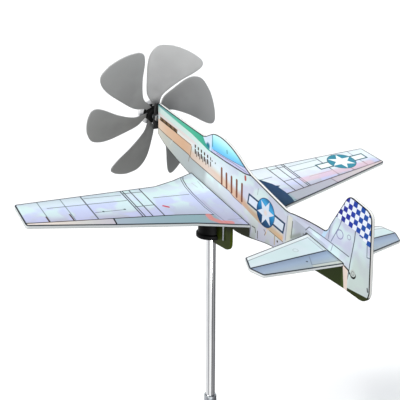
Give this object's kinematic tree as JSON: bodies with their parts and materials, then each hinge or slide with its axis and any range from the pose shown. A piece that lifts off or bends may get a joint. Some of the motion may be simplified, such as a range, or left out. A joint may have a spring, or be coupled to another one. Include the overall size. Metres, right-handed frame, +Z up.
{
  "type": "whirligig",
  "caption": "Flat-board aeroplane whirligig that swivels on a garden pole and carries a free-spinning propeller.",
  "frame": {"origin": "on the pole's axis at ground level, where the stake enters the ground", "axes": "+Z up along the pole, -Y towards the aeroplane's nose at rest, +X towards its port wing tip"},
  "size_m": [0.4062, 0.3842, 0.5171],
  "materials": {
    "fuselage_print": "satin printed board, silver, peach, teal and blue artwork",
    "wing_print": "satin printed board, pale silver with fine panel lines",
    "blade_grey": "satin grey",
    "spinner_white": "glossy silver white",
    "black_plastic": "moulded, matte",
    "black_steel": "black powder coat",
    "black_screws": "blackened",
    "olive_paint": "matte olive",
    "chrome_pole": "bright plated",
    "zinc": "zinc plated",
    "steel": "bare steel",
    "brass": "brass, plain turned",
    "nylon": "matte"
  },
  "bodies": {
    "mast": {"ground_spike": "steel", "pole_lower": "chrome_pole", "pole_upper": "chrome_pole", "pole_coupler": "zinc", "coupler_screw_lower": "steel", "coupler_screw_upper": "steel", "pole_plug": "nylon", "pivot_pin": "steel", "thrust_washer": "zinc"},
    "aeroplane": {"swivel_housing": "black_plastic", "swivel_bush": "brass", "clamp_bolt_front": "black_screws", "clamp_bolt_rear": "black_screws", "clamp_nut_front": "black_screws", "clamp_nut_rear": "black_screws", "lock_strip": "zinc", "fuselage_board": "fuselage_print", "wing_port": "wing_print", "wing_starboard": "wing_print", "wing_saddle": "black_steel", "wing_screw_port_inner": "black_screws", "wing_screw_port_outer": "black_screws", "wing_screw_starboard_inner": "black_screws", "wing_screw_starboard_outer": "black_screws", "tailplane_board": "wing_print", "tail_angle_port": "olive_paint", "tail_angle_starboard": "olive_paint", "nose_bracket": "black_steel", "nose_screw_upper": "black_screws", "nose_screw_lower": "black_screws", "prop_axle": "zinc", "axle_washer_rear": "zinc", "axle_washer_front": "zinc", "axle_lock_nut": "zinc"},
    "propeller": {"prop_hub": "black_plastic", "hub_bush_rear": "brass", "hub_bush_front": "brass", "spinner_cap": "spinner_white", "blade_1": "blade_grey", "blade_2": "blade_grey", "blade_3": "blade_grey", "blade_4": "blade_grey", "blade_5": "blade_grey", "blade_6": "blade_grey"}
  },
  "joints": [
    {"name": "body_swivel", "type": "hinge", "parent": "mast", "child": "aeroplane", "pos_m": [0, 0, 0.24], "axis": [0, 0, 1], "continuous": true},
    {"name": "prop_spin", "type": "hinge", "parent": "aeroplane", "child": "propeller", "pos_m": [0, -0.12438, 0.32641], "axis": [0, -0.9744, 0.225], "continuous": true}
  ]
}
